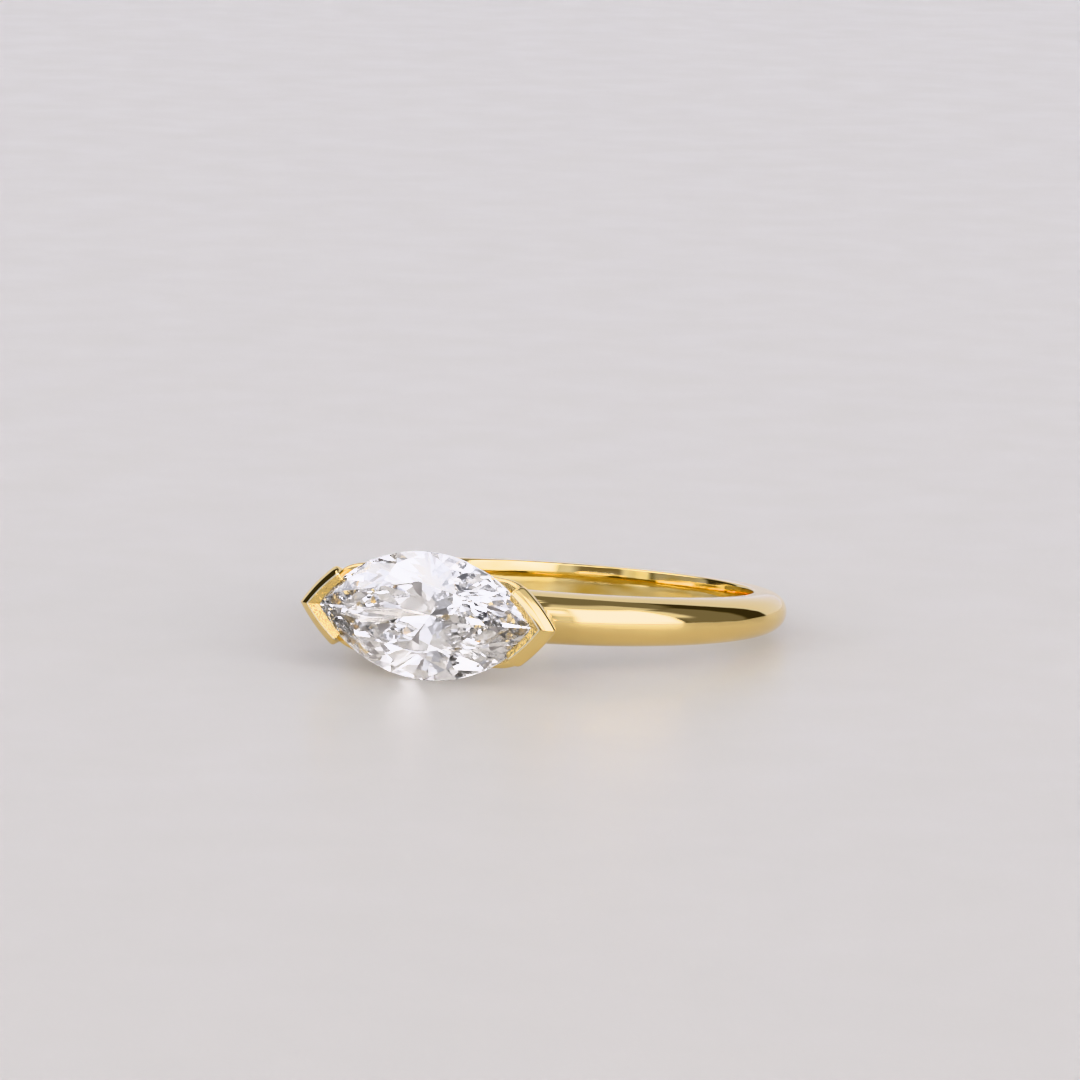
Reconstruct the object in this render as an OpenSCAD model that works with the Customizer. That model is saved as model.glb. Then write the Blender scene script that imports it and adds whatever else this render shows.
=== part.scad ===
// East-west marquise ring: a plain D-section band that narrows away from the head,
// a low basket with two V-shaped end bezels, and one marquise brilliant between them.
// The ring lies on its side as it rests: on the stone's lowest edge and on the far bottom of the band.
// Millimetres, +Z up, X along the stone. The stone faces -Y.

/* [Finger] */
// Diameter of the finger hole
finger_d = 17; // [14:0.1:21]
// Thickness of the band, from the finger hole to its crown
band_t = 1.6; // [1.3:0.05:2]
// Width of the band below the head
band_w_head = 2.34; // [2:0.02:3]
// Width of the band opposite the head
band_w_back = 1.5; // [1.2:0.02:1.9]

/* [Stone] */
// Length of the stone, tip to tip
stone_l = 11.1; // [9:0.1:13]
// Width of the stone at its belly
stone_w = 5.64; // [4.8:0.02:6.4]
// Height of the girdle plane above the finger hole's axis
girdle_h = 12.62; // [12.4:0.02:13.6]
// Height of the crown above the girdle
crown_h = 0.8; // [0.6:0.05:1]
// Thickness of the girdle
girdle_t = 0.14; // [0.1:0.01:0.2]
// Depth of the pavilion below the girdle
pavilion_h = 2.32; // [2.1:0.02:2.4]
// Share of the stone's length that the table takes
table_share_l = 0.62; // [0.5:0.01:0.68]
// Share of the stone's width that the table takes
table_share_w = 0.56; // [0.5:0.01:0.64]

/* [Setting] */
// Length over the two end bezels, tip to tip, at the rim's outer edge
bezel_l = 13; // [12:0.1:15]
// Radius of the curve that each bezel leg follows, seen from the table
bezel_r = 7.9; // [7.5:0.05:9]
// Width of the rim's outer bevel, seen from the table
rim_w = 0.52; // [0.35:0.01:0.6]
// Height of the rim's inner edge above the girdle plane
rim_top = 0.4; // [0.3:0.02:0.5]
// Height of the rim's outer edge above the girdle plane
rim_foot = 0; // [-0.2:0.02:0.1]
// Width of the bright-cut slope inside the rim, seen from the table
bright_cut_w = 0.46; // [0.3:0.02:0.5]
// Height of the bright-cut slope's lower edge, where the metal meets the crown
bright_cut_foot = 0.14; // [0.1:0.02:0.2]
// Distance from the stone's middle to the inner corner of a leg's cut end
leg_end_x = 4.34; // [4:0.02:5]
// Half-width at the inner corner of a leg's cut end
leg_end_y = 1.43; // [1.2:0.01:1.6]
// Angle of a leg's cut end from the stone's long axis
leg_end_angle = 57; // [45:1:75]
// Width of the basket between its flat sides, at the ledge
basket_w = 4; // [3.4:0.05:4.6]
// Depth of the basket's ledge below the girdle plane
ledge_d = 0.35; // [0.2:0.05:0.6]
// Inward slope of the basket's outer walls, as run over rise
wall_slope = 0.44; // [0.3:0.01:0.45]
// Gap between the stone and the metal
stone_gap = 0.03; // [0.02:0.01:0.05]

/* [Hidden] */
$fn = 144;
// Straight steps along the girdle's edge under each half facet
EDGE_STEPS = 4;
// Share of the crown's height at which the star facets end
STAR_SHARE = 0.5;
// Share of the pavilion's depth that the lower half facets take
LOWER_SHARE = 0.78;
// Share of the band's half-width that each rounded shoulder takes
SHOULDER_SHARE = 0.9;
// Reach of the shoulders beyond the crown, so that the rounds cross and do not just touch
SHOULDER_REACH = 0.04;
// Depth by which the basket's foot runs into the finger hole, which cuts it flush
FOOT_OVERLAP = 0.2;
// Inward run over rise of the room above the girdle, less steep than any crown facet
CROWN_ROOM_SLOPE = 1;

GOLD = [0.86, 0.68, 0.36];
DIAMOND = [0.86, 0.92, 0.96, 0.55];

// Finger hole and band
finger_r = finger_d / 2;
band_r = finger_r + band_t;
head_half_w = band_w_head / 2;
back_half_w = band_w_back / 2;
mid_half_w = (head_half_w + back_half_w) / 2;
taper_angle = atan((head_half_w - back_half_w) / (finger_r + band_r));
crown_r = head_half_w;
crown_c = band_r - crown_r;
shoulder_r = SHOULDER_SHARE * mid_half_w;
shoulder_c = band_r + SHOULDER_REACH - shoulder_r;
blank_r = finger_r / 2;
blank_depth = 2 * band_w_head;

// Stone outline: two arcs of radius stone_r, their centres stone_c off the long axis
half_l = stone_l / 2;
half_w = stone_w / 2;
stone_r = (pow(half_l, 2) + pow(half_w, 2)) / (2 * half_w);
stone_c = stone_r - half_w;
tip_angle = asin(half_l / stone_r);

// Heights on the stone, from the middle of the girdle
girdle_top = girdle_t / 2;
table_z = girdle_top + crown_h;
culet_z = -girdle_top - pavilion_h;
star_z = girdle_top + STAR_SHARE * crown_h;
lower_tip_z = -girdle_top - LOWER_SHARE * pavilion_h;

// Bezel outline: two arcs as well, on centres of their own
bezel_c = sqrt(pow(bezel_r, 2) - pow(bezel_l / 2, 2));
rim_in_r = bezel_r - rim_w;
contact_r = rim_in_r - bright_cut_w;

// Basket
ledge_z = -ledge_d;
basket_foot_z = -(girdle_h - finger_r + FOOT_OVERLAP);
side_slope = (basket_w / 2 - head_half_w) / (girdle_h - band_r - ledge_d);
wall_top_z = rim_top + crown_h;

// Rest: the lower edge of the stone's girdle and the band's far bottom share the floor plane
back_z = back_half_w - shoulder_r;
rest_span = girdle_h - girdle_top + shoulder_c;
rest_rise = half_w - back_z;
rest_angle = atan(rest_rise / rest_span) - asin(shoulder_r / norm([rest_span, rest_rise]));
centre_z = half_w * cos(rest_angle) - (girdle_h - girdle_top) * sin(rest_angle);
front_y = -(girdle_h + table_z) * cos(rest_angle) - half_w * table_share_w * sin(rest_angle);
back_y = band_r * cos(rest_angle);
centre_y = -(front_y + back_y) / 2;

// Turns the ring frame, with the finger axis upright, into the pose that rests on the floor
module at_rest() {
    translate([0, centre_y, centre_z]) rotate([-rest_angle, 0, 0]) children();
}

// Turns the setting frame, with the table upwards and the girdle at z = 0, into the ring frame
module at_head() {
    translate([0, -girdle_h, 0]) rotate([90, 0, 0]) children();
}

// Outline point at turn: 0 and 4 are the tips, 2 and 6 the belly, 1, 3, 5 and 7 the shoulders
function side_of(turn) = turn % 8 < 4 ? 1 : -1;
function arc_angle(turn) = tip_angle * (1 - (turn % 4) / 2);
function outline(turn, z) =
    let (a = arc_angle(turn), side = side_of(turn))
    [side * stone_r * sin(a), side * (stone_r * cos(a) - stone_c), z];
function tangent(turn) =
    let (a = arc_angle(turn))
    turn % 4 == 0 ? [0, 1, 0] : [cos(a), -sin(a), 0];

// Table corner that belongs to the main facet at turn
function table_point(turn) =
    let (g = outline(turn, table_z))
    [g[0] * table_share_l, g[1] * table_share_w, table_z];

// A plane is a point and a normal; a main facet lies along the outline and reaches the point inner
function main_plane(turn, z, inner) =
    let (g = outline(turn, z))
    [g, cross(tangent(turn), inner - g)];
function plane_height(plane, p) =
    let (g = plane[0], n = plane[1])
    g[2] - (n[0] * (p[0] - g[0]) + n[1] * (p[1] - g[1])) / n[2];

// Point at height z on the edge between two neighbouring main facets
function meet(plane_a, plane_b, z) =
    let (
        a = plane_a[1],
        b = plane_b[1],
        reach_a = a * plane_a[0] - a[2] * z,
        reach_b = b * plane_b[0] - b[2] * z,
        det = a[0] * b[1] - a[1] * b[0]
    )
    [(reach_a * b[1] - reach_b * a[1]) / det, (a[0] * reach_b - b[0] * reach_a) / det, z];

// The girdle's edge, cut by the half facets that run from a tip point between two mains
function girdle_edge(tips, z) = [
    for (i = [0 : EDGE_STEPS * 16 - 1])
        let (
            turn = i / (EDGE_STEPS * 2),
            half = floor(2 * turn) / 2,
            start = outline(half, z),
            end = outline(half + 0.5, z),
            tip = tips[floor(turn)],
            p = outline(turn, z)
        )
        [p[0], p[1], plane_height([tip, cross(start - tip, end - tip)], p)]
];

// Two equal cylinders or cones that cross, which leaves a shape with two sharp tips
module two_arcs(c, r_low, r_high, z_low, z_high) {
    intersection_for (side = [-1, 1])
        translate([0, side * c, z_low]) cylinder(h = z_high - z_low, r1 = r_low, r2 = r_high);
}

// Marquise brilliant: table, 8 stars, 8 mains and 16 halves above the girdle, 8 mains and 16 halves below
module brilliant() {
    n = EDGE_STEPS * 16;
    step = EDGE_STEPS * 2;
    culet = [0, 0, culet_z];
    crown_mains = [for (k = [0 : 7]) main_plane(k, girdle_top, table_point(k))];
    pavilion_mains = [for (k = [0 : 7]) main_plane(k, -girdle_top, culet)];
    star_tips = [for (k = [0 : 7]) meet(crown_mains[k], crown_mains[(k + 1) % 8], star_z)];
    lower_tips = [for (k = [0 : 7]) meet(pavilion_mains[k], pavilion_mains[(k + 1) % 8], lower_tip_z)];
    points = concat(
        [for (k = [0 : 7]) table_point(k)], star_tips, lower_tips, [culet],
        girdle_edge(star_tips, girdle_top), girdle_edge(lower_tips, -girdle_top)
    );
    star = 8;
    lower = 16;
    point = 24;
    top = 25;
    bottom = top + n;
    half = [for (j = [0 : EDGE_STEPS]) j];
    faces = concat(
        [[for (k = [7 : -1 : 0]) k]],
        [for (k = [0 : 7]) [k, (k + 1) % 8, star + k]],
        [for (k = [0 : 7]) [k, star + k, top + k * step, star + (k + 7) % 8]],
        [for (k = [0 : 7], h = [0, 1]) concat([star + k],
            [for (j = [EDGE_STEPS : -1 : 0]) top + (k * step + h * EDGE_STEPS + j) % n])],
        [for (i = [0 : n - 1]) [top + i, top + (i + 1) % n, bottom + (i + 1) % n, bottom + i]],
        [for (k = [0 : 7], h = [0, 1]) concat([lower + k],
            [for (j = half) bottom + (k * step + h * EDGE_STEPS + j) % n])],
        [for (k = [0 : 7]) [point, lower + (k + 7) % 8, bottom + k * step, lower + k]]
    );
    polyhedron(points, faces);
}

// Room for the stone: cones that clear its facets above and below the girdle
module stone_room() {
    r = stone_r + stone_gap;
    below = girdle_top + pavilion_h + stone_gap;
    two_arcs(stone_c, stone_c + stone_gap, r, -below, -girdle_top);
    two_arcs(stone_c, r, r, -girdle_top, girdle_top);
    two_arcs(stone_c, r, r - CROWN_ROOM_SLOPE * crown_h, girdle_top, table_z);
}

// Ring of the band's crown section, round on the outside and flat on the sides
module crown_ring() {
    rotate_extrude() {
        translate([crown_c, 0]) circle(crown_r);
        translate([blank_r, -crown_r]) square([crown_c - blank_r, 2 * crown_r]);
    }
}

// Ring with one rounded shoulder, which leans so that the band narrows towards its back
module leaning_shoulder() {
    rotate([-taper_angle, 0, 0]) rotate_extrude() {
        translate([shoulder_c, mid_half_w - shoulder_r]) circle(shoulder_r);
        translate([0, mid_half_w - shoulder_r]) square([shoulder_c, shoulder_r]);
        translate([0, -blank_depth])
            square([shoulder_c + shoulder_r, blank_depth + mid_half_w - shoulder_r]);
    }
}

module band() {
    intersection() {
        crown_ring();
        leaning_shoulder();
        mirror([0, 0, 1]) leaning_shoulder();
    }
}

// Block of the basket and bezels: sloping walls with tips at both ends, and the rim's outer bevel
module setting_walls() {
    depth = rim_foot - basket_foot_z;
    two_arcs(bezel_c, bezel_r - wall_slope * depth, bezel_r, basket_foot_z, rim_foot);
    two_arcs(bezel_c, bezel_r, rim_in_r, rim_foot, rim_top);
}

// The basket's two flat sides, which lean in to the width of the band
module basket_sides() {
    foot_half_w = basket_w / 2 + side_slope * (basket_foot_z - ledge_z);
    top_half_w = basket_w / 2 + side_slope * (wall_top_z - ledge_z);
    rotate([90, 0, 90]) linear_extrude(bezel_l, center = true) polygon([
        [-foot_half_w, basket_foot_z], [foot_half_w, basket_foot_z],
        [top_half_w, wall_top_z], [-top_half_w, wall_top_z]
    ]);
}

// Space above the ledge, between the cut ends of the two bezels
module between_bezels() {
    reach = basket_w;
    run = 1 / tan(leg_end_angle);
    near_x = leg_end_x - leg_end_y * run;
    far_x = near_x + reach * run;
    translate([0, 0, ledge_z]) linear_extrude(wall_top_z - ledge_z) polygon([
        [near_x, 0], [far_x, reach], [-far_x, reach],
        [-near_x, 0], [-far_x, -reach], [far_x, -reach]
    ]);
}

// Space above the crown inside the rims: the bright-cut slope and the opening over the stone
module bright_cut() {
    slope = bright_cut_w / (rim_top - bright_cut_foot) * (wall_top_z - rim_top);
    two_arcs(bezel_c, contact_r, contact_r, 0, bright_cut_foot);
    two_arcs(bezel_c, contact_r, rim_in_r + slope, bright_cut_foot, wall_top_z);
}

module setting() {
    difference() {
        intersection() {
            setting_walls();
            basket_sides();
        }
        between_bezels();
        bright_cut();
        stone_room();
    }
}

module gold_mount() {
    color(GOLD) at_rest() difference() {
        union() {
            band();
            at_head() setting();
        }
        cylinder(h = 2 * blank_depth, r = finger_r, center = true);
    }
}

module marquise_stone() {
    color(DIAMOND) at_rest() at_head() brilliant();
}

gold_mount();
marquise_stone();
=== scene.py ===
import math
from collections import namedtuple
from functools import partial

import bpy
import numpy as np
from mathutils import Matrix, Vector
from mathutils.bvhtree import BVHTree


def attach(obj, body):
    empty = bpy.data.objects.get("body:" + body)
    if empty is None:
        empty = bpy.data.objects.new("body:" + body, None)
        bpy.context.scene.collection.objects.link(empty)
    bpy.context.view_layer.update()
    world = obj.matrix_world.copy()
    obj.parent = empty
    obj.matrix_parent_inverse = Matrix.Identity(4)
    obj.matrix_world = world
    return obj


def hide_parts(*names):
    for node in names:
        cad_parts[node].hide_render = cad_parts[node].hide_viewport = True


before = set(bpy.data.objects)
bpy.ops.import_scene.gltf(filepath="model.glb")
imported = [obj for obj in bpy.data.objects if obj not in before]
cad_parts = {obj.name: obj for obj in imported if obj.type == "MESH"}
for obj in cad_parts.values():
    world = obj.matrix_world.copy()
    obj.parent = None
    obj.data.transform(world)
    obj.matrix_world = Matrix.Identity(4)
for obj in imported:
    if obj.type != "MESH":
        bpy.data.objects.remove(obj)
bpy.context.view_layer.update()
scene = bpy.context.scene
scene.view_settings.view_transform = "Khronos PBR Neutral"
scene.view_settings.look = "None"
scene.cycles.max_bounces = 24
scene.cycles.diffuse_bounces = 2
scene.cycles.glossy_bounces = 16
scene.cycles.transmission_bounces = 20

MM = 0.001

# Driving sizes in millimetres, as in the part's source
FINGER_R = 8.5
BAND_R = 10.1
HEAD_HALF_W = 1.17
BACK_HALF_W = 0.75
SHOULDER_SHARE = 0.9
SHOULDER_REACH = 0.04
STONE_HALF_L = 5.55
STONE_HALF_W = 2.82
GIRDLE_H = 12.62
GIRDLE_TOP = 0.07
CROWN_H = 0.8
PAVILION_H = 2.32
TABLE_SHARE_W = 0.56
BEZEL_HALF_L = 6.5
BEZEL_R = 7.9
RIM_W = 0.52
RIM_TOP = 0.4
RIM_FOOT = 0.0
BRIGHT_CUT_W = 0.46
BRIGHT_CUT_FOOT = 0.14
LEG_END = (4.34, 1.43)
LEG_END_ANGLE = math.radians(57)
LEDGE_Z = -0.35
LEDGE_HALF_W = 2.0
WALL_SLOPE = 0.44
STONE_GAP = 0.03

# Outlines seen from the table: arcs of radius R whose centres lie C off the long axis
STONE_R = (STONE_HALF_L**2 + STONE_HALF_W**2) / (2 * STONE_HALF_W)
STONE_C = STONE_R - STONE_HALF_W
BEZEL_C = math.sqrt(BEZEL_R**2 - BEZEL_HALF_L**2)
RIM_IN_R = BEZEL_R - RIM_W
CONTACT_R = RIM_IN_R - BRIGHT_CUT_W
SIDE_SLOPE = (LEDGE_HALF_W - HEAD_HALF_W) / (GIRDLE_H - BAND_R + LEDGE_Z)
ROOM_BOTTOM = -GIRDLE_TOP - PAVILION_H - STONE_GAP

# Share of a limit within which a surface lies clear of its edge
WITHIN = 0.9

# Sizes in millimetres that only the looks need
EDGE_ROUND = 0.22
CREST_ROUND = 0.06
BEVEL_BULGE = 0.027
TIP_ROUND = 0.13
TIP_ROUND_LEAST = 0.015
END_WALL_ROUND = 0.3
END_TOP_ROUND = 0.08
BASKET_PROUD = 0.08
BASKET_TIP_SHARE = 0.65

# Width of the row beside a round that keeps the shading of a flat
FLAT_HOLD = 0.03
WALL_HOLD = 0.04

# How the bezels' inner side keeps off the stone's crown, and goes past its girdle and pavilion
LIP_GAP = 0.012
LIP_BACK_GAP = 0.02
LIP_LOWEST = 0.02
GIRDLE_SINK = 0.01
SEAT_SINK = 0.012


def rest_pose():
    """Tilt and place of the ring, which lies on the edge of its stone and on the far bottom of its band."""
    shoulder_r = SHOULDER_SHARE * (HEAD_HALF_W + BACK_HALF_W) / 2
    span = GIRDLE_H - GIRDLE_TOP + BAND_R + SHOULDER_REACH - shoulder_r
    rise = STONE_HALF_W - BACK_HALF_W + shoulder_r
    tilt = math.atan(rise / span) - math.asin(shoulder_r / math.hypot(span, rise))
    c, s = math.cos(tilt), math.sin(tilt)
    front = (GIRDLE_H + GIRDLE_TOP + CROWN_H) * c + STONE_HALF_W * TABLE_SHARE_W * s
    return tilt, np.array([0, (front - BAND_R * c) / 2, STONE_HALF_W * c - (GIRDLE_H - GIRDLE_TOP) * s])


REST_ANGLE, CENTRE = rest_pose()


# Frames: the row's in metres, the ring's with the finger axis up, and the setting's with the table up
def to_row(points):
    """Ring frame in millimetres to the row frame in metres."""
    x, y, z = np.moveaxis(np.asarray(points, float), -1, 0)
    c, s = math.cos(REST_ANGLE), math.sin(REST_ANGLE)
    return (np.stack([x, c * y + s * z, -s * y + c * z], -1) + CENTRE) * MM


def head_to_ring(points):
    """Setting frame to the ring frame."""
    x, y, z = np.moveaxis(np.asarray(points, float), -1, 0)
    return np.stack([x, -z - GIRDLE_H, y], -1)


def to_head(point):
    """Row frame in metres to the setting frame in millimetres."""
    x, y, z = np.array(point) / MM - CENTRE
    c, s = math.cos(REST_ANGLE), math.sin(REST_ANGLE)
    return Vector((x, s * y + c * z, -(c * y - s * z) - GIRDLE_H))


# Mesh tools
SHARP_ANGLE = math.radians(32)
HALVINGS = 30


def add_mesh(name, points, faces):
    """Makes a smooth mesh whose edges stay sharp above SHARP_ANGLE."""
    mesh = bpy.data.meshes.new(name)
    mesh.from_pydata([tuple(p) for p in points], [], faces)
    mesh.validate()
    mesh.update()
    for polygon in mesh.polygons:
        polygon.use_smooth = True
    mesh.set_sharp_from_angle(angle=SHARP_ANGLE)
    piece = bpy.data.objects.new(name, mesh)
    scene.collection.objects.link(piece)
    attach(piece, "root")
    return piece


def loop_faces(columns, rows, wrap_columns, wrap_rows):
    """Quads of a grid of points numbered column by column."""
    faces = []
    for i in range(columns if wrap_columns else columns - 1):
        for j in range(rows if wrap_rows else rows - 1):
            a, b = i * rows + j, i * rows + (j + 1) % rows
            k = (i + 1) % columns
            faces.append((a, b, k * rows + (j + 1) % rows, k * rows + j))
    return faces


def unit(vector):
    return np.asarray(vector, float) / np.linalg.norm(vector)


def turned(vector):
    """A quarter turn to the left."""
    return np.array([-vector[1], vector[0]])


def crossing(p, d, q, e):
    """Where the line through p along d meets the line through q along e."""
    t = np.linalg.solve(np.array([[d[0], -e[0]], [d[1], -e[1]]]), q - p)
    return p + t[0] * d


def fillet(corner, before, after, radius, steps):
    """Points of a round between two lines that meet at corner, from the first to the second."""
    corner, before, after = (np.asarray(p, float) for p in (corner, before, after))
    u, v = unit(before - corner), unit(after - corner)
    half = math.acos(np.clip(u @ v, -1, 1)) / 2
    centre = corner + unit(u + v) * radius / math.sin(half)
    start = corner + u * radius / math.tan(half) - centre
    end = corner + v * radius / math.tan(half) - centre
    turn = math.pi - 2 * half
    return [
        centre + (start * math.sin(turn * (1 - t)) + end * math.sin(turn * t)) / math.sin(turn)
        for t in np.linspace(0, 1, steps)
    ]


def bisect(low, high, holds):
    """The last place from low towards high at which holds is true."""
    for _ in range(HALVINGS):
        middle = (low + high) / 2
        if holds(middle):
            low = middle
        else:
            high = middle
    return low


# Band: a D section, narrower towards the back, swept round the finger hole
BAND_COLUMNS = 432
FINGER_STEPS = 8
RIM_STEPS = 6
CROWN_STEPS = 40
INNER_EDGE = 0.09
FINGER_DOME = 0.06
FLAT_HEAD = 0.35
FLAT_BACK = 0.62
FLAT_SHARE = 0.6
FULLNESS_BACK = 0.18


def band_half_section(half_w, back):
    """Upper half of the section as (radius, height), from the finger hole to the crown."""
    flat = FLAT_HEAD + (FLAT_BACK - FLAT_HEAD) * back
    power = 2 / (2 + FULLNESS_BACK * back)
    edge = FINGER_R + FINGER_DOME
    points = [
        (FINGER_R + FINGER_DOME * (h / half_w) ** 2, h)
        for h in np.linspace(0, half_w - INNER_EDGE - FLAT_HOLD, FINGER_STEPS)
    ]
    # The rim's round starts along the dome's tangent at the edge
    tangent = (edge - 2 * FINGER_DOME, 0)
    points += fillet((edge, half_w), tangent, (edge + 1, half_w), INNER_EDGE, RIM_STEPS)
    points.append((FINGER_R + flat * FLAT_SHARE, half_w))
    for t in np.linspace(0, math.pi / 2, CROWN_STEPS):
        r = FINGER_R + flat + (BAND_R - FINGER_R - flat) * math.sin(t) ** power
        points.append((r, half_w * math.cos(t) ** power if t < math.pi / 2 else 0.0))
    return np.array(points)


def make_band():
    columns = []
    for turn in np.linspace(0, 2 * math.pi, BAND_COLUMNS, endpoint=False):
        back = (1 - math.cos(turn)) / 2
        half_w = HEAD_HALF_W + (BACK_HALF_W - HEAD_HALF_W) * back
        upper = band_half_section(half_w, back)
        lower = upper[-2:0:-1] * (1, -1)
        r, z = np.concatenate([upper, lower]).T
        columns.append(np.stack([r * math.sin(turn), -r * math.cos(turn), z], -1))
    faces = loop_faces(BAND_COLUMNS, len(columns[0]), True, True)
    return add_mesh("ring_band", to_row(np.concatenate(columns)), faces)


# Outlines of the setting: an arc of radius r whose centre lies c below the long axis, with a round tip
TIP_STEPS = 5


def arc_end(r, c, shift):
    """Angle from the Y axis at which the arc meets a leg's cut end, moved by shift towards the tip."""
    run, rise = math.cos(LEG_END_ANGLE), math.sin(LEG_END_ANGLE)
    px = LEG_END[0] + rise * shift
    py = LEG_END[1] - run * shift + c
    along = px * run + py * rise
    way = -along + math.sqrt(along * along - (px * px + py * py - r * r))
    return math.atan2(px + run * way, py + rise * way)


def tip_points(r, c, rounding):
    """Round at the tip, from the long axis to where the arc starts, and the arc's starting angle."""
    base = r - rounding
    x = math.sqrt(base * base - c * c)
    start = math.atan2(x, c)
    return [
        (x + rounding * math.cos(t), rounding * math.sin(t))
        for t in np.linspace(0, math.pi / 2 - start, TIP_STEPS)
    ], start


def arc_point(r, c, start, end, share):
    """Point at a share of the way between two angles from the Y axis."""
    angle = start + (end - start) * share
    return r * math.sin(angle), r * math.cos(angle) - c


def wall_r(z):
    """Radius of the arcs of the walls below the rim."""
    return BEZEL_R - WALL_SLOPE * (RIM_FOOT - z)


def cavity_r(z):
    """Radius of the arcs of the stone's room below the girdle."""
    return STONE_R + STONE_GAP - (-z - GIRDLE_TOP) * (STONE_R - STONE_C) / (PAVILION_H + STONE_GAP)


# The walls end inside the band's metal, at this radius from the finger's axis
FOOT_R = 9.3
FOOT_X = 4.4
FOOT_ROUNDS = 8


def wall_foot(x_at):
    """Height at which a wall ends, from a first guess; x_at gives the wall's place at each height."""
    x = FOOT_X
    for _ in range(FOOT_ROUNDS):
        z = math.sqrt(FOOT_R**2 - x * x) - GIRDLE_H
        x = x_at(z)
    return z


# Stone surfaces in the setting frame, read from the CAD stone
ABOVE_STONE = 5


def stone_tree():
    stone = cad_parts["marquise_stone"].data
    points = [to_head(vertex.co) for vertex in stone.vertices]
    return BVHTree.FromPolygons(points, [tuple(p.vertices) for p in stone.polygons])


STONE = stone_tree()


def crown_z(x, y):
    """Height of the stone's crown above a plan point, or the girdle's edge outside it."""
    hit = STONE.ray_cast(Vector((x, y, ABOVE_STONE)), Vector((0, 0, -1)))[0]
    return hit.z if hit is not None and hit.z > 0 else GIRDLE_TOP


# V-shaped end bezels
LEG_SHARES = np.linspace(0, 1, 26)[1:-1]
END_STEPS = 7
EDGE_STEPS = 7
CREST_STEPS = 4

# Rows of a section: wall, outer edge to crest, bright-cut slope, and what faces the stone
WALL_SHARES = (0, 0.3, 0.6, 0.85)
BEVEL_SHARES = np.linspace(0, 1, 8)[1:-1]
SLOPE_SHARES = (0.5, 1)
LIP_SHARES = (0.05, 0.35, 0.7, 0.97)
GIRDLE_ROWS = (GIRDLE_TOP, -GIRDLE_TOP - GIRDLE_SINK)
SEAT_ROWS = (-0.25, -0.6)
INNER_ROWS = len(LIP_SHARES) + len(GIRDLE_ROWS) + len(SEAT_ROWS)


def inset(distance, radius):
    """How far a round of that radius draws its surface in at a distance from the end."""
    if distance >= radius:
        return 0.0
    return radius - math.sqrt(radius**2 - (radius - distance) ** 2)


def bezel_section(distance):
    """Rows as (arc radius, height) from the wall's top to the bright-cut slope, and its direction."""
    foot, top = np.array([BEZEL_R, RIM_FOOT]), np.array([RIM_IN_R, RIM_TOP])
    wall_d = unit((WALL_SLOPE, 1))
    bevel_d = unit(top - foot)
    cut_d = unit((CONTACT_R - RIM_IN_R, BRIGHT_CUT_FOOT - RIM_TOP))
    # The rounds of the cut end draw the wall, the bevel and the slope in
    wall_p = foot + turned(wall_d) * inset(distance, END_WALL_ROUND)
    bevel_p = foot + turned(bevel_d) * inset(distance, END_TOP_ROUND)
    cut_p = top + turned(cut_d) * inset(distance, END_TOP_ROUND)
    outer = crossing(wall_p, wall_d, bevel_p, bevel_d)
    crest = crossing(bevel_p, bevel_d, cut_p, cut_d)
    edge = fillet(outer, outer - wall_d, outer + bevel_d, EDGE_ROUND, EDGE_STEPS)
    crests = fillet(crest, crest - bevel_d, crest + cut_d, CREST_ROUND, CREST_STEPS)
    # The bevel bulges most in its middle
    bevel = [
        edge[-1] + (crests[0] - edge[-1]) * t - turned(bevel_d) * BEVEL_BULGE * 4 * t * (1 - t)
        for t in BEVEL_SHARES
    ]
    return [edge[0] - wall_d * WALL_HOLD, *edge, *bevel, *crests, crests[-1] + cut_d * FLAT_HOLD], cut_d


def tip_rounding(r, z):
    """Round of an outline's tip, which gets smaller from the outer edge inwards."""
    if z < RIM_FOOT:
        return TIP_ROUND
    return max(TIP_ROUND_LEAST, TIP_ROUND - (BEZEL_R - r))


def leg_columns():
    """Columns from the tip along a leg: place on an outline, and distance from the cut end."""
    reach = [("tip", i) for i in range(TIP_STEPS)] + [("arc", share) for share in LEG_SHARES]
    turns = np.linspace(0, math.pi / 2, END_STEPS)
    return [(where, END_WALL_ROUND) for where in reach] + [
        (("arc", 1.0), END_WALL_ROUND * (1 - math.sin(turn))) for turn in turns
    ]


def plan_point(r, c, rounding, where, distance):
    """Point of an outline at a column; its arc ends at the given distance from the cut end."""
    points, start = tip_points(r, c, rounding)
    kind, place = where
    if kind == "tip":
        return points[place]
    return arc_point(r, c, start, arc_end(r, c, distance), place)


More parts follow.
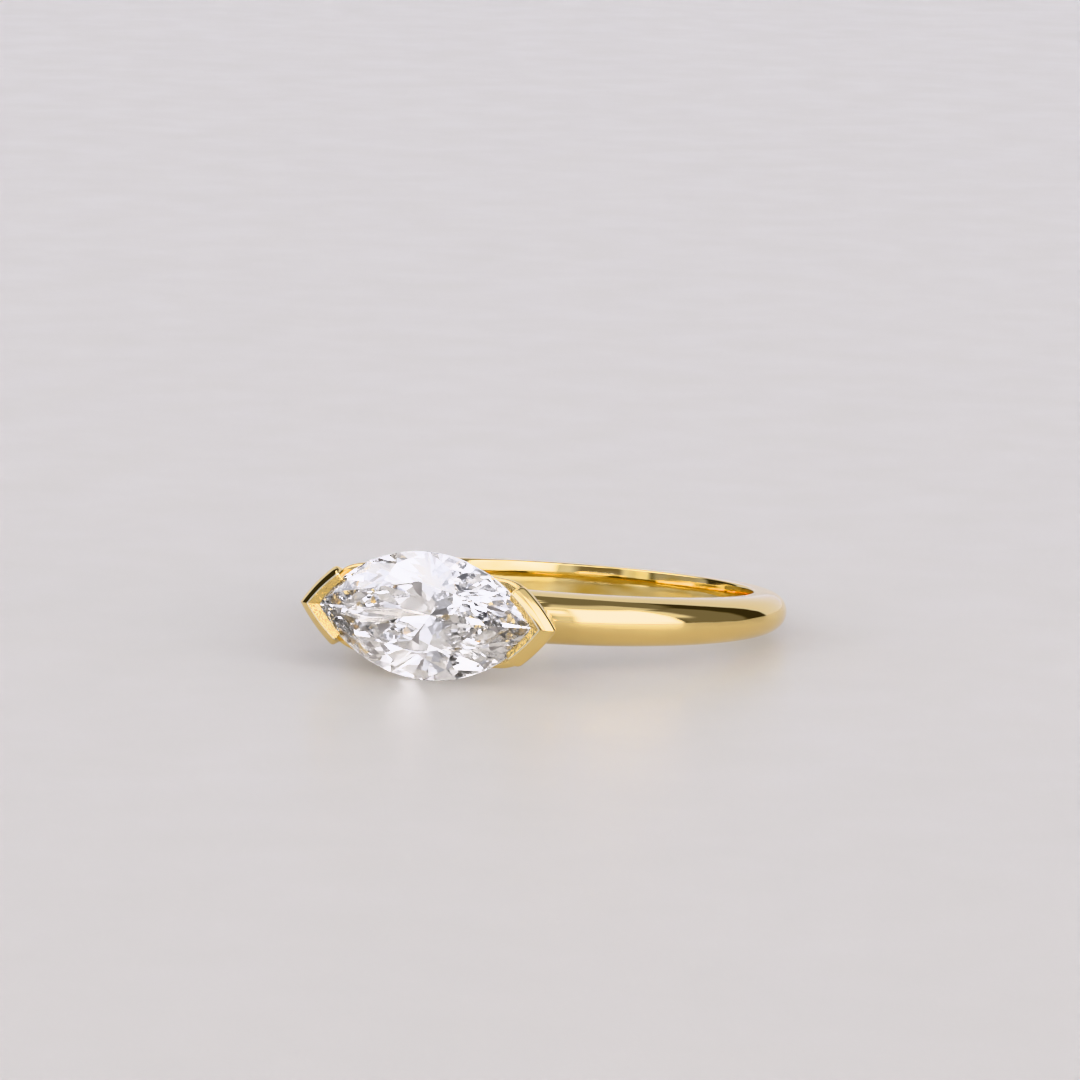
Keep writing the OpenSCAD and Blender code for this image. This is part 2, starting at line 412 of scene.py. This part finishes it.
def bezel_column(where, distance):
    """One closed section of a bezel leg in the setting frame, for y >= 0."""
    outer, cut_d = bezel_section(distance)
    wall_in = inset(distance, END_WALL_ROUND)

    def at(r, z, rounding):
        return (*plan_point(r, BEZEL_C, rounding, where, distance), z)

    foot = wall_foot(lambda z: at(wall_r(z) - wall_in, z, TIP_ROUND)[0])
    heights = [foot + (outer[0][1] - foot) * share for share in WALL_SHARES]
    rows = [(wall_r(h) - wall_in, h) for h in heights] + [tuple(p) for p in outer]
    column = [at(r, h, tip_rounding(r, h)) for r, h in rows]

    # The bright-cut slope runs down to the stone's crown
    def on_slope(way):
        r, h = outer[-1] + cut_d * way
        return at(r, h, TIP_ROUND_LEAST)

    def above_crown(way):
        x, y, z = on_slope(way)
        return z > crown_z(x, y) + LIP_GAP

    slope = bisect(0.0, (outer[-1][1] - LIP_LOWEST) / -cut_d[1], above_crown)
    column += [on_slope(slope * share) for share in SLOPE_SHARES]

    # Under the lip it follows the crown to the girdle, then the pavilion
    lip = np.array(column[-1][:2])
    girdle = np.array(plan_point(STONE_R + STONE_GAP, STONE_C, TIP_ROUND_LEAST, where, distance))
    for share in LIP_SHARES:
        x, y = lip + (girdle - lip) * share
        column.append((x, y, crown_z(x, y) + LIP_BACK_GAP))
    column += [(*girdle, h) for h in GIRDLE_ROWS]
    for h in SEAT_ROWS:
        x, y = plan_point(cavity_r(h) - SEAT_SINK, STONE_C, TIP_ROUND_LEAST, where, distance)
        column.append((x, y, h))
    return column


def make_bezel(name, side):
    leg = [np.array(bezel_column(*column)) for column in leg_columns()]
    # From one leg's cut end round the tip to the other's
    columns = [c * (side, -1, 1) for c in leg[:0:-1]] + [c * (side, 1, 1) for c in leg]
    rows = len(columns[0])
    last = (len(columns) - 1) * rows
    faces = loop_faces(len(columns), rows, False, True)
    faces += [tuple(range(rows)), tuple(last + j for j in reversed(range(rows)))]
    if side > 0:
        faces = [tuple(reversed(f)) for f in faces]
    return add_mesh(name, to_row(head_to_ring(np.concatenate(columns))), faces)


# Basket below the bezels
ARC_STEPS = 18
CORNER_STEPS = 12
FLAT_STEPS = 22
LEDGE_STEPS = 6
CORNER_ROUND = 2.4
LEDGE_ROUND = 0.3
LEDGE_ROUND_LEAST = 0.03
LEDGE_ROUND_SHARE = 0.6
LOWEST_CUT = -1.6
SIDE_SHARES = (0, 0.25, 0.5, 0.75, 0.97, 1)
ROOM_SHARES = (0, 0.12, 0.3, 0.5, 0.7, 0.88, 1)


def side_half_w(z):
    """Half-width between the flat sides."""
    return LEDGE_HALF_W + BASKET_PROUD + SIDE_SLOPE * (z - LEDGE_Z)


def basket_outline(z, inward=0.0):
    """A quarter of the basket's outline at height z, from the tip to the middle of the flat side."""
    r, h = wall_r(z) + BASKET_PROUD / 2 - inward, side_half_w(z) - inward
    tip, start = tip_points(r, BEZEL_C, TIP_ROUND)
    # The corner's round touches the arc from inside and the flat side
    cy = h - CORNER_ROUND
    cx = math.sqrt((r - CORNER_ROUND) ** 2 - (cy + BEZEL_C) ** 2)
    corner = math.atan2(cx, cy + BEZEL_C)
    # The arc is drawn in towards the tip, which stays under the bezel
    tip_in = BASKET_PROUD * BASKET_TIP_SHARE
    points = [(x - tip_in, y) for x, y in tip[:-1]]
    for s in np.linspace(0, 1, ARC_STEPS):
        points.append(arc_point(r - tip_in * (1 - s), BEZEL_C, start, corner, s))
    for t in np.linspace(corner, 0, CORNER_STEPS)[1:]:
        points.append((cx + CORNER_ROUND * math.sin(t), cy + CORNER_ROUND * math.cos(t)))
    return points + [(cx * (1 - s), h) for s in np.linspace(0, 1, FLAT_STEPS)[1:]]


def room_half_l(z):
    """Half-length of the stone's room."""
    return math.sqrt(cavity_r(z) ** 2 - STONE_C**2)


def room_half_w(x, z):
    """Half-width of the stone's room at x, below zero past its tip."""
    return math.sqrt(max(cavity_r(z) ** 2 - x * x, 0)) - STONE_C


def wall_top(i):
    """Height of the wall at column i: the ledge, or where the stone's room cuts the flat side."""

    def outside_room(z):
        x, y = basket_outline(z)[i]
        return room_half_w(x, z) <= y

    return LEDGE_Z if outside_room(LEDGE_Z) else bisect(LOWEST_CUT, LEDGE_Z, outside_room)


def room_rows(x, top):
    """Rows of the room's wall below the point at x and at height top, down to the bottom."""
    # Past the place where the room meets the flat side, the columns close up to end at the room's tip
    meets = math.sqrt(cavity_r(LEDGE_Z) ** 2 - (side_half_w(LEDGE_Z) + STONE_C) ** 2)
    tip_out = math.sqrt(wall_r(LEDGE_Z) ** 2 - BEZEL_C**2)
    tip_in = room_half_l(LEDGE_Z)
    if x > meets:
        x = meets + (x - meets) * (tip_in - meets) / (tip_out - meets)
    share = min(x, tip_in) / room_half_l(top)
    rows = []
    for s in ROOM_SHARES:
        h = top + (ROOM_BOTTOM - top) * s
        x = share * room_half_l(h)
        rows.append((x, max(room_half_w(x, h), 0), h))
    return rows


def basket_column(i):
    """Section of the basket at column i, from its foot over the ledge to the bottom of the stone's room."""

    def wall(z, inward=0.0):
        return basket_outline(z, inward)[i]

    top = wall_top(i)
    foot = wall_foot(lambda z: wall(z)[0])
    x, y = wall(top)
    ledge_w = y - room_half_w(x, top)
    rounding = min(max(LEDGE_ROUND_SHARE * ledge_w, LEDGE_ROUND_LEAST), LEDGE_ROUND)
    column = []
    for share in SIDE_SHARES:
        h = foot + (top - rounding - foot) * share
        column.append((*wall(h), h))
    for turn in np.linspace(0, math.pi / 2, LEDGE_STEPS + 1)[1:]:
        h = top - rounding * (1 - math.sin(turn))
        column.append((*wall(h, rounding * (1 - math.cos(turn))), h))
    return column + room_rows(column[-1][0], top)


def make_basket():
    quarter = [np.array(basket_column(i)) for i in range(len(basket_outline(LEDGE_Z)))]
    # All the way round, from the right tip
    columns = list(quarter)
    columns += [c * (-1, 1, 1) for c in quarter[-2::-1]]
    columns += [c * (-1, -1, 1) for c in quarter[1:]]
    columns += [c * (1, -1, 1) for c in quarter[-2:0:-1]]
    n, rows = len(columns), len(columns[0])
    faces = loop_faces(n, rows, True, False)
    # Caps at the foot and at the bottom of the room, across from side to side
    for j in (0, rows - 1):
        for i in range(n // 2):
            quad = [k * rows + j for k in (i, i + 1, n - i - 1, (n - i) % n)]
            corners = list(dict.fromkeys(quad))
            faces.append(tuple(reversed(corners)) if j else tuple(corners))
    faces = [tuple(reversed(f)) for f in faces if len(f) > 2]
    return add_mesh("basket", to_row(head_to_ring(np.concatenate(columns))), faces)


# Node tools
def connect(value, socket):
    """Links a value that is a socket, and sets any other on the socket itself."""
    if isinstance(value, bpy.types.NodeSocket):
        socket.id_data.links.new(value, socket)
    else:
        socket.default_value = value


def fill(node, **inputs):
    """Fills the inputs that are named, with _ for a space."""
    for name, value in inputs.items():
        connect(value, node.inputs[name.replace("_", " ")])


def put(tree, kind, settings=None, **inputs):
    """Adds a node with its settings and fills the inputs that are named."""
    made = tree.nodes.new(kind)
    for name, value in (settings or {}).items():
        setattr(made, name, value)
    fill(made, **inputs)
    return made


def maths(tree, operation, *values, kind="ShaderNodeMath"):
    made = put(tree, kind, {"operation": operation})
    for value, socket in zip(values, made.inputs):
        connect(value, socket)
    return made.outputs[0]


def scaled(tree, vector, factor):
    made = put(tree, "ShaderNodeVectorMath", {"operation": "SCALE"}, Vector=vector, Scale=factor)
    return made.outputs[0]


def mixed(tree, factor, first, second):
    """Colour between two, by a factor."""
    made = put(tree, "ShaderNodeMix", {"data_type": "RGBA"}, Factor=factor, A=first, B=second)
    return made.outputs["Result"]


def ring_place(tree):
    """Position in the ring frame, in millimetres."""
    texture = tree.nodes.new("ShaderNodeTexCoord")
    made = put(tree, "ShaderNodeMapping", {"vector_type": "TEXTURE"}, Vector=texture.outputs["Object"])
    fill(made, Location=CENTRE * MM, Rotation=(-REST_ANGLE, 0, 0), Scale=(MM, MM, MM))
    return made.outputs[0]


# How fast a noise changes along the band, as shares of its change across it
ALONG_X = 0.11
ALONG_Y = -0.22


def round_place(tree):
    """Position that changes slowly along the band and quickly across it, so that marks run along it."""
    x, y, z = put(tree, "ShaderNodeSeparateXYZ", Vector=ring_place(tree)).outputs
    along = maths(tree, "ADD", maths(tree, "MULTIPLY", x, ALONG_X), maths(tree, "MULTIPLY", y, ALONG_Y))
    squares = [maths(tree, "MULTIPLY", side, side) for side in (x, y)]
    out = maths(tree, "SQRT", maths(tree, "ADD", *squares))
    return put(tree, "ShaderNodeCombineXYZ", X=along, Y=out, Z=z).outputs[0]


def noise(tree, place, scale, detail=2.0):
    return put(tree, "ShaderNodeTexNoise", Vector=place, Scale=scale, Detail=detail).outputs[0]


def bump(tree, height, depth, **normal):
    """Bump of a depth in millimetres, on the normal if one is given."""
    made = put(tree, "ShaderNodeBump", Height=height, Distance=depth * MM, Strength=1.0, **normal)
    return made.outputs[0]


def spread(tree, value, low, high):
    """Maps the middle of a noise to the given range."""
    made = put(tree, "ShaderNodeMapRange", Value=value, To_Min=low, To_Max=high)
    fill(made, From_Min=0.3, From_Max=0.7)
    return made.outputs[0]


def new_material(name):
    material = bpy.data.materials.new(name)
    material.use_nodes = True
    tree = material.node_tree
    return material, tree, tree.nodes["Principled BSDF"]


# Finishes
GOLD = (0.94, 0.71, 0.31, 1)
CUT_GOLD = (0.92, 0.67, 0.26, 1)
# Paler gold of the crest, a painted highlight along it
CREST_HIGHLIGHT_COLOUR = (0.98, 0.88, 0.66, 1)
# Darker gold of the finger wall's patches, whose lower mean paints shade inside the band
DEEP_GOLD_SHADE = (0.74, 0.51, 0.13, 1)
SOFT_GOLD = (0.96, 0.79, 0.4, 1)
TONE_STRETCH = (0.4, 0.4, 1.1)
# Pale metal seen through the stone: painted light in place of gold
SEAT_PAINTED_LIGHT_COLOUR = (0.94, 0.93, 0.91, 1)
CLEAR = (1, 0.99, 0.97, 1)
STONE_IOR = 2.417
FLOOR_DARK = (0.475, 0.449, 0.395, 1)
FLOOR_PALE = (0.484, 0.458, 0.403, 1)
FLOOR_SCATTER = 25


def metal_material(name, place_of, wave, grain, colour=GOLD, matt=(0.035, 0.075), wave_scale=1.3):
    """Polished metal: depths of its buffing waves and of its grain, and its range of roughness."""
    material, tree, shader = new_material(name)
    place = place_of(tree)
    waves = bump(tree, noise(tree, place, wave_scale), wave)
    fine = bump(tree, noise(tree, place, scale=14, detail=3), grain, Normal=waves)
    rough = spread(tree, noise(tree, place, scale=3.5, detail=3), *matt)
    fill(shader, Base_Color=colour, Metallic=1, Normal=fine, Roughness=rough)
    return material


def finger_material():
    """Metal of the wall round the finger: softer, with darker and paler patches of tone at random, and
    darker on the whole than the outer gold, which paints shade inside the band.
    """
    material = metal_material("finger_shaded_gold", round_place, wave=0.01, grain=0.0004, matt=(0.05, 0.08))
    tree = material.node_tree
    place = maths(tree, "MULTIPLY", ring_place(tree), TONE_STRETCH, kind="ShaderNodeVectorMath")
    # Patches at random between a darker and a paler gold; their darker mean is painted shade
    tone_and_shade = mixed(tree, spread(tree, noise(tree, place, scale=1), low=0, high=1), DEEP_GOLD_SHADE, SOFT_GOLD)
    fill(tree.nodes["Principled BSDF"], Base_Color=tone_and_shade)
    return material


def stone_material():
    material, tree, shader = new_material("clear_stone")
    fill(shader, Base_Color=CLEAR, IOR=STONE_IOR, Transmission_Weight=1)
    # The girdle is left matt, and the facets carry faint polishing waves
    place = ring_place(tree)
    y = put(tree, "ShaderNodeSeparateXYZ", Vector=place).outputs["Y"]
    height = maths(tree, "ABSOLUTE", maths(tree, "ADD", y, GIRDLE_H))
    girdle = maths(tree, "LESS_THAN", height, GIRDLE_TOP * WITHIN)
    matt = maths(tree, "MULTIPLY", girdle, spread(tree, noise(tree, place, scale=12), low=0.2, high=0.4))
    waves = bump(tree, noise(tree, place, scale=2.5), depth=0.0006)
    fill(shader, Roughness=matt, Normal=waves)
    return material


def floor_material():
    material, tree, shader = new_material("pale_floor")
    texture = tree.nodes.new("ShaderNodeTexCoord")
    place = scaled(tree, texture.outputs["Object"], 1 / MM)
    mottle = mixed(tree, noise(tree, place, scale=0.06), FLOOR_DARK, FLOOR_PALE)
    rough = spread(tree, noise(tree, place, scale=0.2), low=0.3, high=0.36)
    rises = bump(tree, noise(tree, place, scale=5, detail=1), depth=0.003)
    fill(shader, Base_Color=mottle, Roughness=rough, Normal=rises, Specular_IOR_Level=0.05)
    # Light spreads inside the sheet, which softens the shadow
    shader.subsurface_method = "BURLEY"
    fill(shader, Subsurface_Weight=0.95, Subsurface_Radius=(1, 1, 1), Subsurface_Scale=FLOOR_SCATTER * MM)
    return material


gold = metal_material("polished_gold", ring_place, wave=0.005, grain=0.0001)
band_gold = metal_material("band_gold", round_place, wave=0.03, grain=0.0004)
cut_gold = metal_material(
    "bright_cut_gold", ring_place, wave=0.1, grain=0.03, colour=CUT_GOLD, wave_scale=5
)
# The crest is rough, and its paler gold paints a highlight along it
crest_painted_highlight = metal_material(
    "crest_painted_highlight", ring_place, wave=0.008, grain=0.001, colour=CREST_HIGHLIGHT_COLOUR, matt=(0.28, 0.34)
)
finger_shaded_gold = finger_material()
# The pale seat finish is painted light seen through the stone
seat_painted_light = metal_material("pale_seat_painted_light", ring_place, wave=0.008, grain=0.001, colour=SEAT_PAINTED_LIGHT_COLOUR)

# What faces the stone has a pale finish, painted light that the stone shows in place of the gold behind it
SEAT_GAP = 0.04
SEAT_REACH = 0.8
SEAT_TOP = -0.42
SEAT_FACING = 0.7


def add_finish(piece, material):
    """Adds a material to the piece and returns its index."""
    piece.data.materials.append(material)
    return len(piece.data.materials) - 1


def finish_seat(piece, reach, top):
    """Pale faces below top that look at the stone from within reach; their pale finish is painted light
    seen through the stone.
    """
    pale = add_finish(piece, seat_painted_light)
    for polygon in piece.data.polygons:
        centre = to_head(polygon.center)
        near = STONE.find_nearest(centre, reach)[0]
        if near is None or centre.z > top:
            continue
        outward = to_head(polygon.center + polygon.normal * MM) - centre
        if outward.dot(near - centre) > SEAT_FACING * (near - centre).length:
            polygon.material_index = pale


def finish_band(piece):
    """Softer finish on the wall round the finger, in the darker gold that paints shade inside the band."""
    soft = add_finish(piece, finger_shaded_gold)
    for polygon in piece.data.polygons:
        x, _, z = to_head(polygon.center)
        if math.hypot(x, z + GIRDLE_H) < FINGER_R + FINGER_DOME * WITHIN:
            polygon.material_index = soft


def finish_bezel(piece):
    """Bright-cut slope and brushed crest, which are rows of faces from end to end; the crest's paler gold
    is a painted highlight.
    """
    cut, crest = add_finish(piece, cut_gold), add_finish(piece, crest_painted_highlight)
    columns = leg_columns()
    rows = len(bezel_column(*columns[0]))
    # A row's number is that of its first point; the slope's first point is the crest's last
    slope_start = rows - INNER_ROWS - len(SLOPE_SHARES) - 2
    crest_start = slope_start - CREST_STEPS + 1
    before_caps = (2 * len(columns) - 2) * rows
    for polygon in piece.data.polygons[:before_caps]:
        row = polygon.index % rows
        if slope_start <= row < rows - INNER_ROWS:
            polygon.material_index = cut
        elif crest_start <= row < slope_start:
            polygon.material_index = crest


band = make_band()
right_bezel = make_bezel("right_bezel", 1)
left_bezel = make_bezel("left_bezel", -1)
basket = make_basket()
for piece in (band, right_bezel, left_bezel, basket):
    add_finish(piece, band_gold if piece is band else gold)
    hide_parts("gold_mount")
finish_band(band)
for piece in (right_bezel, left_bezel):
    finish_bezel(piece)
    finish_seat(piece, SEAT_GAP, RIM_TOP)
finish_seat(basket, SEAT_REACH, SEAT_TOP)

clear_stone = stone_material()
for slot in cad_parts["marquise_stone"].material_slots:
    slot.material = clear_stone

# Floor, a round sheet with its radius in metres
FLOOR_R = 2.0
FLOOR_SIDES = 96


def make_floor():
    turns = np.linspace(0, 2 * math.pi, FLOOR_SIDES, endpoint=False)
    mesh = bpy.data.meshes.new("floor")
    points = [(FLOOR_R * math.cos(turn), FLOOR_R * math.sin(turn), 0) for turn in turns]
    mesh.from_pydata(points, [], [tuple(range(FLOOR_SIDES))])
    mesh.materials.append(floor_material())
    return bpy.data.objects.new("floor", mesh)


floor = make_floor()
scene.collection.objects.link(floor)

# Camera fitted to the photograph, in millimetres, degrees and pixels
CAMERA_AZIMUTH = 28.9764
CAMERA_ELEVATION = 10.0521
CAMERA_ROLL = 0.7189
CAMERA_DISTANCE = 300.0
FOCAL_PX = 6603.02
CENTRE_PX = (564.533, 598.381)
IMAGE_PX = 1080
SENSOR = 36.0
CLIP_START = 10.0
CLIP_END = 10000.0


def make_camera():
    a, e, roll = (math.radians(v) for v in (CAMERA_AZIMUTH, CAMERA_ELEVATION, CAMERA_ROLL))
    back = Vector((math.sin(a) * math.cos(e), -math.cos(a) * math.cos(e), math.sin(e)))
    level = Vector((math.cos(a), math.sin(a), 0))
    upright = back.cross(level)
    right = level * math.cos(roll) + upright * math.sin(roll)
    up = -level * math.sin(roll) + upright * math.cos(roll)
    scale = CAMERA_DISTANCE / FOCAL_PX
    place = Vector(CENTRE) + back * CAMERA_DISTANCE
    place += right * (IMAGE_PX / 2 - CENTRE_PX[0]) * scale - up * (IMAGE_PX / 2 - CENTRE_PX[1]) * scale
    data = bpy.data.cameras.new("camera")
    data.sensor_width = SENSOR
    data.lens = SENSOR * FOCAL_PX / IMAGE_PX
    data.clip_start = CLIP_START * MM
    data.clip_end = CLIP_END * MM
    camera = bpy.data.objects.new("camera", data)
    turn = Matrix((right, up, back)).transposed().to_4x4()
    camera.matrix_world = Matrix.Translation(place * MM) @ turn
    return camera


camera = make_camera()
scene.collection.objects.link(camera)
scene.camera = camera

# Studio light. Angles are in degrees as seen from the ring: rightwards from the camera, and upwards
Panel = namedtuple("Panel", "colour level left right low high blur")
WHITE = (1.0, 1.0, 1.1)
SWEEP = (1.0, 1.03, 1.25)
COOL = (0.94, 0.94, 1.2)
SKIN = (1.0, 0.86, 0.78)
PANELS = (
    Panel(WHITE, 4.0, 7, 63, -90, 60, 5),
    Panel(WHITE, 2.0, 9, 61, 8, 54, 6),
    Panel(WHITE, 0.5, -10, 92, 58, 76, 8),
    Panel(WHITE, 0.7, 63, 76, 24, 60, 8),
    Panel(WHITE, 0.17, 66, 108, -90, 56, 6),
    Panel(WHITE, 0.75, -6, 7, -90, 66, 8),
    Panel(WHITE, 1.2, -6, 7, 24, 46, 10),
    Panel(SKIN, 0.2, -36, -6, -90, 34, 5),
    Panel(WHITE, 1.0, -36, -6, 34, 64, 6),
    Panel(WHITE, 3.5, -28, 2, 36, 47, 5),
    Panel(WHITE, 0.9, -46, -36, -90, 64, 5),
    Panel(WHITE, 1.3, -54, -46, -90, 34, 5),
    Panel(WHITE, 0.4, -99, -57, -90, 32, 6),
    Panel(WHITE, 3.2, -112, -46, 31, 62, 8),
    Panel(WHITE, 1.2, -150, -30, 64, 84, 6),
    Panel(WHITE, 0.17, -200, 200, 57, 90, 6),
)
DARK = 0.06
BACKDROP = 0.75
BACKDROP_RIGHT = math.radians(51)
BACKDROP_LEFT = math.radians(47)
BACKDROP_TOP = math.radians(60)
BACKDROP_CORNERS = 2.5
BACKDROP_EDGE = (1.1, 0.9)
LEAST_BEHIND = 0.001


def ramp(tree, value, zero_at, one_at):
    """Smooth step from zero to one."""
    made = put(tree, "ShaderNodeMapRange", {"interpolation_type": "SMOOTHSTEP"}, Value=value)
    fill(made, From_Min=zero_at, From_Max=one_at)
    return made.outputs[0]


def between(tree, value, low, high, blur):
    """One between the two edges, which are soft, and zero beyond them."""
    off = maths(tree, "ABSOLUTE", maths(tree, "SUBTRACT", value, (low + high) / 2))
    half = (high - low) / 2
    return ramp(tree, off, half + blur / 2, half - blur / 2)


def backdrop_level(tree, front, right, up):
    """Light of the backdrop, a rectangle with round corners that stands behind the ring."""
    op = partial(maths, tree)
    behind = op("MAXIMUM", op("MULTIPLY", front, -1), LEAST_BEHIND)
    rightwards = op("DIVIDE", op("MAXIMUM", right, 0), math.tan(BACKDROP_RIGHT))
    leftwards = op("DIVIDE", op("MINIMUM", right, 0), -math.tan(BACKDROP_LEFT))
    across = op("DIVIDE", op("ADD", rightwards, leftwards), behind)
    above = op("DIVIDE", op("MAXIMUM", up, 0), op("MULTIPLY", behind, math.tan(BACKDROP_TOP)))
    reach = op("ADD", *(op("POWER", part, BACKDROP_CORNERS) for part in (across, above)))
    return op("MULTIPLY", ramp(tree, reach, *BACKDROP_EDGE), BACKDROP)


def studio_world():
    """A pale backdrop behind, soft panels round the ring, and a dim light everywhere."""
    world = bpy.data.worlds.new("studio")
    world.use_nodes = True
    tree = world.node_tree
    op = partial(maths, tree)
    add = partial(maths, tree, "ADD", kind="ShaderNodeVectorMath")
    direction = tree.nodes.new("ShaderNodeTexCoord").outputs["Generated"]
    x, y, up = put(tree, "ShaderNodeSeparateXYZ", Vector=direction).outputs
    c, s = math.cos(math.radians(CAMERA_AZIMUTH)), math.sin(math.radians(CAMERA_AZIMUTH))
    front = op("ADD", op("MULTIPLY", x, s), op("MULTIPLY", y, -c))
    right = op("ADD", op("MULTIPLY", x, c), op("MULTIPLY", y, s))
    side = op("MULTIPLY", op("ARCTAN2", right, front), math.degrees(1))
    elevation = op("MULTIPLY", op("ARCSINE", up), math.degrees(1))
    light = scaled(tree, SWEEP, backdrop_level(tree, front, right, up))
    for colour in dict.fromkeys(panel.colour for panel in PANELS):
        level = 0.0
        for panel in PANELS:
            if panel.colour != colour:
                continue
            across = between(tree, side, panel.left, panel.right, panel.blur)
            upwards = between(tree, elevation, panel.low, panel.high, panel.blur)
            level = op("MULTIPLY_ADD", op("MULTIPLY", across, upwards), panel.level, level)
        light = add(light, scaled(tree, colour, level))
    light = add(light, [DARK * part for part in COOL])
    fill(tree.nodes["Background"], Color=light)
    return world


scene.world = studio_world()
